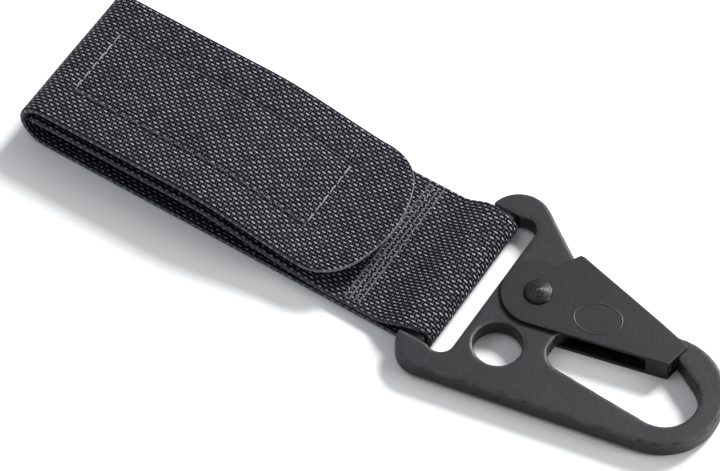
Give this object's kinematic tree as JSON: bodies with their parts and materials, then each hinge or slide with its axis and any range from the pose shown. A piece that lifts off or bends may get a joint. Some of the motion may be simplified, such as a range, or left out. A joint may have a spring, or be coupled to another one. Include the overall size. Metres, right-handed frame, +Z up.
{
  "type": "belt-loop key organiser",
  "caption": "Webbing belt loop with a hook-and-loop flap, sewn round the bar of a flat snap hook with a riveted spring gate and a ring hole.",
  "frame": {"origin": "on the resting surface, under the middle of the object's bounding box", "axes": "+X along the strap from the belt turn to the hook's end, +Y across the strap towards the gate's thumb corner, +Z up from the resting surface"},
  "size_m": [0.1446, 0.0438, 0.0112],
  "materials": {
    "webbing": "plain-weave nylon webbing, charcoal black",
    "tape": "hook-and-loop tape, black pile",
    "thread": "bonded sewing thread, black",
    "coated_zinc": "matte black coated die casting",
    "coated_steel": "matte black coated sheet steel",
    "rivet_steel": "satin black rivet",
    "spring_steel": "drawn spring wire"
  },
  "bodies": {
    "strap": {"back_webbing": "webbing", "belt_turn": "webbing", "front_webbing": "webbing", "loop_tape": "tape", "loop_tape_stitches": "thread", "tack_stitches": "thread"},
    "flap": {"flap_webbing": "webbing", "hook_tape": "tape", "flap_stitches": "thread"},
    "clip": {"bar_turn": "webbing", "clip_frame": "coated_zinc", "gate_rivet": "rivet_steel", "gate_spring": "spring_steel"},
    "gate": {"gate": "coated_steel"}
  },
  "joints": [
    {"name": "flap_fold", "type": "hinge", "parent": "strap", "child": "flap", "pos_m": [-0.0668, 0, 0.01105], "axis": [0, -1, 0], "range_deg": [0, 170]},
    {"name": "clip_flex", "type": "hinge", "parent": "strap", "child": "clip", "pos_m": [0.0092, 0, 0.00135], "axis": [0, -1, 0], "range_deg": [-80, 80]},
    {"name": "gate_pivot", "type": "hinge", "parent": "clip", "child": "gate", "pos_m": [0.0311, 0.0036, 0.00275], "axis": [0, 0, -1], "range_deg": [0, 22], "stiffness_Nm_per_rad": 0.15, "springref_deg": -20.05, "deforming": ["gate_spring"]}
  ]
}
